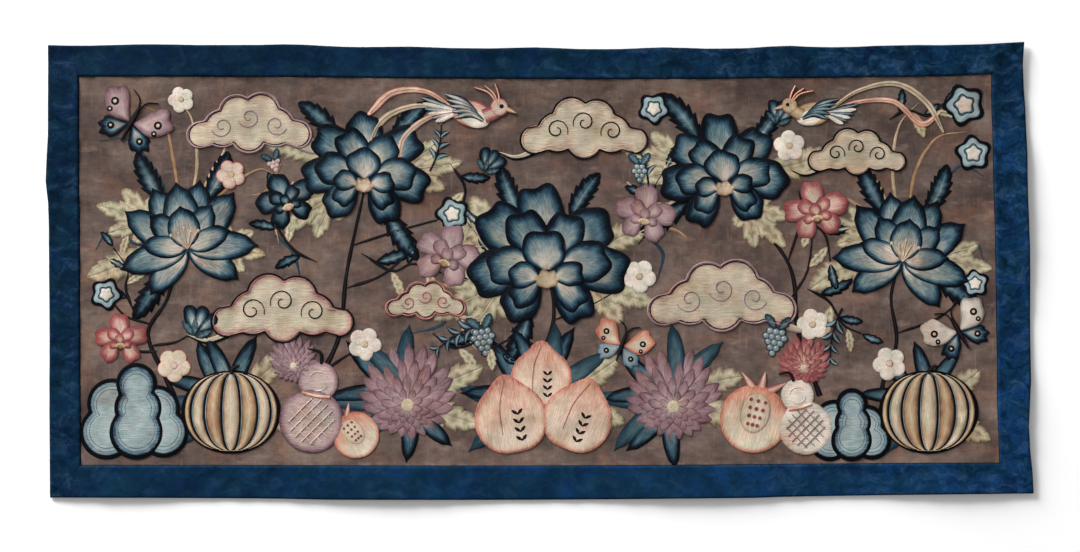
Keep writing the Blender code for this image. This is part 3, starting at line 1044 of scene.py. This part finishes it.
def gourd(work, at, size, heading, floss="mauve", crossing="pearl"):
    """A double gourd with a tied waist, a curl of stem and crossed threads on its belly."""
    way = at_angle(heading) * size
    disc(work, at + way * 1.25, size * 0.62, floss, 0)
    disc(work, at, size, floss, 0.5, 44)
    stem = [at + way * place for place in (1.8, 2.15 + 0.1j, 2.2 + 0.5j)]
    stroke(work, stem, 18, 3.6, (1, 0.1, 0.3), "bark", 0.4, "rim", 0.7)
    for side in (1, -1):
        arc = at + way * (1.25 + 0.3 * side * np.exp(1j * np.linspace(-1.2, 1.2, 16)))
        cord(work, arc, 1, "pearl", 1.6, 0.6)
    for turn in (45, 135):
        for off in np.arange(-2, 3) * size * 0.24:
            half = math.sqrt((size * 0.72) ** 2 - off ** 2)
            cord(work, at + at_angle(turn) * (1j * off + np.linspace(-half, half, 20)), 1.1, crossing, 3.2)
    tie = [at + way * place for place in (0.82 - 0.44j, 0.82 - 1.5 / size, 0.82 + 0.44j)]
    cord(work, smooth_line(tie, 16), 3.4, "coral", 1.6)


def butterfly(work, at, size, heading, fore="mauve", hind="indigo"):
    """Open wings with ringed spots, a banded body and curled feelers."""
    way = at_angle(heading) * size
    for side in (1, -1):
        fan(work, at, heading + side * 128, size * 0.78, 58, hind, 0, notch=0.07, base=0.1)
        fan(work, at, heading + side * 72, size, 62, fore, 0.9, lobes=2, base=0.08, bend=side * -12)
        for reach, turn, spot in ((0.66, 66, 0.11), (0.62, 86, 0.08), (0.5, 126, 0.09)):
            place = at + at_angle(heading + side * turn) * size * reach
            disc(work, place, size * spot, "black", 2, 14)
            disc(work, place, size * spot * 0.6, "straw", 2.5, 12)
        feeler = [at + way * place for place in (0.34, 0.6 + 0.1j * side, 0.74 + 0.34j * side)]
        cord(work, smooth_line(feeler, 20), 1.3, "black", 1, 0.3)
    body = [at + way * 0.42, at, at - way * 0.5]
    stroke(work, body, 22, size * 0.13, (0.7, 0.3, 0.25), "bark", 2.2, "rim", 1)


def bird(work, at, size, heading, tail, body="rose", wing="indigo", up=1):
    """A flying bird, with places along and up it in shares of its size. Up is -1 where it is turned over."""
    def spot(places):
        places = np.asarray(places, complex)
        return at + at_angle(heading) * size * (places.real + 1j * places.imag * up)

    for k, points in enumerate(tail):
        plume = ("coral", "cream", "straw")[k % 3]
        line = stroke(work, spot(points), 60, size * 0.17, (0.5, 0.8, 0.3), plume, 0.6 * k)
        cord(work, line[4:-3], 1, "rose", 0.6 * k + 0.9)
    for k in range(6):
        flight = spot((-0.3, (1.3 - 0.08 * k) * at_angle(6 * k - 186)))
        stroke(work, flight, 16, size * 0.16, (0.5, 0.7, 0.2), (wing, "pearl")[k % 2], 1.5 + 0.1 * k)
    disc(work, at, size * 0.5, body, 2.4, 34, squash=0.66, heading=heading)
    disc(work, spot(0.1 - 0.1j), size * 0.36, "pearl", 3.2, 28, squash=0.6, heading=heading)
    root, neck = 0.3 - 0.1j, 0.62 + 0.3j
    for k in range(5):
        tip = -0.75 + 0.34j + (0.09 - 0.13j) * k
        covert = spot((root, (root + tip) / 2 + 0.12j, tip))
        stroke(work, covert, 16, size * 0.17, (0.5, 0.6, 0.2), wing, 3.8 + 0.3 * k)
    stroke(work, spot((0.3, 0.5 + 0.14j, neck)), 14, size * 0.34, (1, 0.5, 1), body, 4.2)
    for k in range(3):
        crest = (neck, 0.55 + 0.58j - 0.12 * k, 0.4 + 0.84j - (0.24 + 0.1j) * k)
        cord(work, smooth_line(spot(crest), 10), 1.8, "coral", 4.6, 0.5)
    disc(work, spot(neck), size * 0.22, body, 5, 24)
    disc(work, spot(0.67 + 0.33j), size * 0.07, "black", 5.9, 12)
    stroke(work, spot((0.8 + 0.3j, 1.06 + 0.24j)), 10, size * 0.12, (1, 0.1, 0.1), "ochre", 5.2)


# -------- floor, lamps and camera

FLOOR_DROP = 0.4       # how far the floor lies under the cloth, in mm
FLOOR_WIDE = 9
CAMERA_PLACE = (0.0004, -0.0057, 2.8605)
KEY_PLACE = (-4.9, 5.5, 1.75)
KEY_WATTS = 2100
KEY_SIZE = (4.2, 3.2)  # metres wide and tall, so that the panel's shadow fades slowly
# The sky's strength falls between two heights, as shares of straight up.
SKY = {"From Min": 0.4, "From Max": 0.85, "To Min": 0.85, "To Max": 0.22}


def make_stage():
    bpy.ops.mesh.primitive_plane_add(size=FLOOR_WIDE, location=(0, 0, -FLOOR_DROP * MM))
    floor = bpy.context.object
    floor.name = "floor"
    material = bpy.data.materials.new("pale_floor")
    material.use_nodes = True
    surface = material.node_tree.nodes["Principled BSDF"]
    surface.inputs["Base Color"].default_value = (0.9, 0.9, 0.9, 1)
    surface.inputs["Roughness"].default_value = 0.9
    floor.data.materials.append(material)


def make_holder(data, place):
    """The object that holds a lamp or a camera."""
    holder = bpy.data.objects.new(data.name, data)
    holder.location = place
    bpy.context.scene.collection.objects.link(holder)
    return holder


def make_key():
    """One tall soft window of light, low at the panel's upper left."""
    lamp = bpy.data.lights.new("key", "AREA")
    lamp.shape = "RECTANGLE"
    lamp.energy = KEY_WATTS
    lamp.size, lamp.size_y = KEY_SIZE
    make_holder(lamp, KEY_PLACE).rotation_euler = (-Vector(KEY_PLACE)).to_track_quat("-Z", "Y").to_euler()


def make_sky():
    """A studio that is white all round and dim overhead, so that no gloss shows in a view from above."""
    world = bpy.data.worlds.new("studio")
    bpy.context.scene.world = world
    world.use_nodes = True
    nodes, links = world.node_tree.nodes, world.node_tree.links
    way, apart, fall = (nodes.new("ShaderNode" + kind) for kind in ("TexCoord", "SeparateXYZ", "MapRange"))
    links.new(way.outputs["Generated"], apart.inputs[0])
    links.new(apart.outputs["Z"], fall.inputs["Value"])
    for key, value in SKY.items():
        fall.inputs[key].default_value = value
    links.new(fall.outputs["Result"], nodes["Background"].inputs["Strength"])
    nodes["Background"].inputs["Color"].default_value = (1, 1, 1, 1)


def make_camera():
    camera = bpy.data.cameras.new("camera")
    camera.lens, camera.sensor_width = 85, 36
    bpy.context.scene.camera = make_holder(camera, CAMERA_PLACE)


# -------- the design

CORD, CREAM, OCHRE = "couched_cord", "floss_cream", "floss_ochre"
INDIGO, MAUVE, CORAL = "floss_indigo", "floss_mauve", "floss_coral"

# Groups of pieces: name, first number, slot, level over the cloth and motif, then each one's place and facts.
DESIGN = (
    ("stems", 1, CORD, 0, stems,
     (-425 - 120j, (20 - 30j, 4 + 4j, -14 + 50j, 8 + 90j, 24 + 150j), (-10 + 60j, -40 + 70j, -60 + 94j),
      (-4 + 30j, -24 + 30j, -46 + 40j), (-12 + 36j, 16 + 40j, 34 + 50j)),
     (-246 - 120j, (0, 22 + 50j, 30 + 120j, 50 + 214j), (27 + 100j, 70 + 116j, 112 + 152j),
      (34 + 148j, 90 + 166j, 142 + 180j), (4 + 8j, 28 + 24j, 46 + 34j)),
     (22 - 140j, (0, -18 + 40j, -6 + 90j, -14 + 150j), (-16 + 50j, -50 + 64j, -88 + 46j),
      (-8 + 84j, 40 + 104j, 84 + 130j)),
     (314 - 140j, (0, -24 + 70j, -36 + 150j, -104 + 230j), (-32 + 110j, -14 + 140j, -8 + 180j),
      (-14 + 44j, -8 + 64j, -6 + 78j), (-36 + 150j, -20 + 200j, -14 + 240j)),
     (378 - 130j, (10 - 34j, 6, 22 + 50j, 16 + 100j, 26 + 140j), (22 + 60j, 70 + 78j, 108 + 112j))),
    ("twig", 1, CREAM, 0.3, twig, (-250 + 10j, 44, 0, -26 + 14j, -46 + 44j, -50 + 76j),
     (-100 + 120j, 46, 0, 16 - 26j, 14 - 56j, 30 - 80j), (-200 + 20j, 48, 0, 34 - 20j, 58 - 12j, 90 - 22j),
     (290 + 90j, 46, 0, 10 - 30j, 30 - 50j, 36 - 80j), (110 + 30j, 46, 0, 20 + 26j, 16 + 56j, 30 + 84j),
     (300 - 20j, 44, 0, 24 - 14j, 40 - 40j, 60 - 50j), (-456 - 44j, 38, 0, -8 + 24j, -6 + 46j, -22 + 70j),
     (-120 - 70j, 40, 0, 24 - 16j, 54 - 10j, 76 - 22j), (392 + 170j, 36, 0, 20 + 10j, 44 + 4j, 60 + 18j)),
    ("grass", 1, OCHRE, 0, grass,
     (-398 + 50j, (-10 + 10j, -30 + 56j, -62 + 96j, -96 + 96j),
      (-4 + 10j, -12 + 70j, -24 + 120j, -52 + 138j), (4 + 10j, 14 + 70j, 8 + 120j, -8 + 140j),
      (-10 - 10j, -50 - 20j, -84 - 6j, -100 - 26j), (10 + 10j, 50 + 44j, 84 + 64j, 104 + 54j),
      (8 + 10j, 30 + 60j, 44 + 84j, 46 + 110j)),
     (-296 + 40j, (0, 20 - 20j, 28 - 50j), (6 + 80j, -10 + 50j, -30 + 44j), (20 + 60j, 20j, 4 - 10j)),
     (410 + 36j, (10 + 10j, 34 + 50j, 62 + 82j, 88 + 70j), (4 + 10j, 10 + 70j, 34 + 112j, 68 + 120j),
      (-4 + 10j, -14 + 70j, -8 + 124j, 14 + 152j), (10 - 10j, 50 - 18j, 78 - 4j, 88 - 26j),
      (-10 + 10j, -50 + 36j, -80 + 50j, -98 + 40j), (-8 + 10j, -30 + 60j, -46 + 80j, -52 + 98j)),
     (118 + 40j, (0, 20 - 20j, 14 - 50j), (10j, 34 + 6j, 54 - 10j), (-20 + 60j, 40j, 30 + 34j),
      (10 + 20j, -4 + 50j, 4 + 84j)),
     (-90 - 30j, (0, -20 - 30j, -54 - 40j), (10j, -34 + 16j, -54), (10, 4 - 34j, 20 - 60j))),
    ("lotus_leaves", 1, CREAM, 0.6, bloom_leaves, (-398 + 40j, 62, (205,), (60, 122, 240), (160, -15))),
    ("lotus", 1, INDIGO, 3.4, lotus, (-398 + 44j, 66, 100)),
    ("peony_leaves", 2, CREAM, 0.6, bloom_leaves, (-196 + 110j, 68, (160,), (50, 130, 300), (5, 215))),
    ("peony", 2, INDIGO, 3.4, peony, (-196 + 110j, 69, 85)),
    ("peony_leaves", 3, CREAM, 0.6, bloom_leaves, (8 + 8j, 84, (20,), (62, 118, 250), (155, 205, -22))),
    ("peony", 3, INDIGO, 3.4, peony, (8 + 8j, 86, 90)),
    ("peony_leaves", 4, CREAM, 0.6, bloom_leaves, (206 + 106j, 68, (10,), (50, 125, 215), (165, -50))),
    ("peony", 4, INDIGO, 3.4, peony, (206 + 106j, 68, 95)),
    ("lotus_leaves", 5, CREAM, 0.6, bloom_leaves, (410 + 26j, 62, (200,), (60, 120, -40), (160, -15))),
    ("lotus", 5, INDIGO, 3.4, lotus, (410 + 30j, 66, 80)),
    ("cloud", 1, CREAM, 2.6, cloud, (-326 + 164j, 84, 1, "mauve"), (50 + 158j, 86, -1, "black", "straw"),
     (-288 - 44j, 96, -1, "black", "rose"), (204 - 30j, 100, 1, "mauve"), (-128 - 34j, 54, 1),
     (356 + 132j, 66, -1, "black", "straw")),
    ("peony", 6, MAUVE, 2.4, small_peony, (-104 + 16j, 38, 70, "mauve")),
    ("peony", 7, CORAL, 2.4, small_peony, (310 + 66j, 36, 100, "rose")),
    ("peony", 8, INDIGO, 2.4, small_peony, (-284 + 78j, 34, 110, "navy", "coral")),
    ("peony", 9, MAUVE, 2.4, small_peony, (118 + 62j, 34, 80, "mauve", "straw")),
    ("peony", 10, CORAL, 2.4, small_peony, (-470 - 78j, 30, 90, "rose")),
    ("grapes", 1, INDIGO, 2, grapes, (-66 - 62j, 17), (266 - 62j, 17, -100)),
    ("grapes", 3, MAUVE, 2, grapes, (-300 + 126j, 12, -70, "mauve", (1, 2, 3))),
    ("grapes", 4, INDIGO, 2, grapes, (112 + 122j, 14, -90, "navy", (1, 2, 3, 2))),
    ("bird", 1, CORAL, 3, bird,
     (-76 + 176j, 46, -12, ((-0.4, -1.2 + 0.3j, -2 + 0.1j, -2.5 - 0.6j),
      (-0.4, -1.4 - 0.1j, -2.1 - 0.6j, -2.3 - 1.4j), (-0.3, -1 - 0.3j, -1.5 - 0.9j, -1.5 - 1.5j))),
     (306 + 176j, 40, 186, ((-0.4, -1.3 + 0.2j, -2.3 + 0.1j, -3 - 0.6j, -3.6 - 0.3j),
      (-0.4, -1.3 + 0.5j, -2.4 + 0.6j, -3.2, -3.6 - 0.9j)), "ochre", "navy", -1)),
    ("rock", 1, INDIGO, 2, rock, (-452 - 154j, 54), (350 - 170j, 40)),
    ("leaves", 1, CREAM, 0.5, fruit_leaves, (-346 - 146j, 76, 40, 140, 200, -20, 90)),
    ("melon", 1, OCHRE, 3, melon, (-346 - 158j, 56, 47)),
    ("leaves", 2, CREAM, 0.5, fruit_leaves, (434 - 150j, 70, 30, 150, 210, -30, 80)),
    ("melon", 2, OCHRE, 3, melon, (436 - 158j, 56, 47)),
    ("gourd", 1, MAUVE, 3, gourd, (-256 - 168j, 36, 80), (298 - 176j, 30, 104, "pearl", "mauve")),
    ("leaves", 3, CREAM, 0.5, fruit_leaves, (-148 - 140j, 80, 20, 160, 205, -25, -70, 110)),
    ("chrysanthemum", 1, MAUVE, 2, chrysanthemum, (-148 - 142j, 60)),
    ("leaves", 4, CREAM, 0.5, fruit_leaves, (150 - 142j, 80, 20, 160, 200, -20, -110, 70)),
    ("chrysanthemum", 2, MAUVE, 2, chrysanthemum, (150 - 144j, 58, "mauve")),
    ("leaves", 5, CREAM, 0.5, fruit_leaves, (4 - 150j, 84, 30, 150, 190, -10, 90, 60)),
    ("peach", 3, CORAL, 3, peach, (2 - 120j, 34, 90)),
    ("peach", 1, CORAL, 4, peach, (-32 - 166j, 41, 100), (42 - 166j, 39, 70)),
    ("pomegranate", 1, CORAL, 3, pomegranate, (240 - 166j, 38, 76), (-206 - 184j, 26, 130)),
    ("butterfly", 1, MAUVE, 3, butterfly, (-458 + 166j, 46, 60), (470 - 68j, 42, 120, "pearl"),
     (92 - 84j, 36, 70, "coral", "rock")),
    ("rosette", 1, INDIGO, 2, rosette, (476 + 186j, 22), (486 + 132j, 19), (488 - 14j, 15),
     (-486 - 26j, 17), (-98 + 64j, 18), (128 + 182j, 17)),
    ("blossom", 1, CREAM, 2, blossom, (280 + 140j, 18), (-346 + 108j, 17, "rose"), (112 - 6j, 19, "pearl"),
     (-402 + 192j, 15, "pearl"), (306 - 60j, 18, "pearl"), (-410 - 106j, 19, "blush", "rose"),
     (392 - 104j, 19, "pearl", "rose"), (-196 - 82j, 19, "pearl")),
    ("chrysanthemum", 3, MAUVE, 2, chrysanthemum, (-276 - 102j, 30, "mauve", "coral"),
     (296 - 104j, 32, "rose")),
    ("bud", 1, INDIGO, 2, bud, (-58 + 118j, 22, 60), (268 + 172j, 22, 70), (-384 - 64j, 28, 70)),
    ("sprig", 1, INDIGO, 1, sprig, (-124 + 110j, 70, 56), (122 + 92j, 100, 54)),
    ("sprig", 5, INDIGO, 1, sprig, (-60 - 60j, 200, 60), (340 - 40j, 250, 60)),
)


# -------- making it all

FIRST_SEED = 100


def main():
    for name in FLOSSES:
        materials[name] = make_floss(name)
    materials["ground"] = make_ground_silk()
    materials["damask"] = make_damask()
    make_camera()
    make_key()
    make_sky()
    bpy.context.scene.view_settings.view_transform = "Standard"
    make_stage()
    make_ground()
    for side in SIDES:
        make_strip(side)
    seed = FIRST_SEED
    for name, first, slot, level, motif, *rows in DESIGN:
        for number, (at, *facts) in enumerate(rows, first):
            work = Stitching(seed, level)
            motif(work, at, *facts)
            work.piece(f"{name}_{number}", slot)
            seed += 1


main()
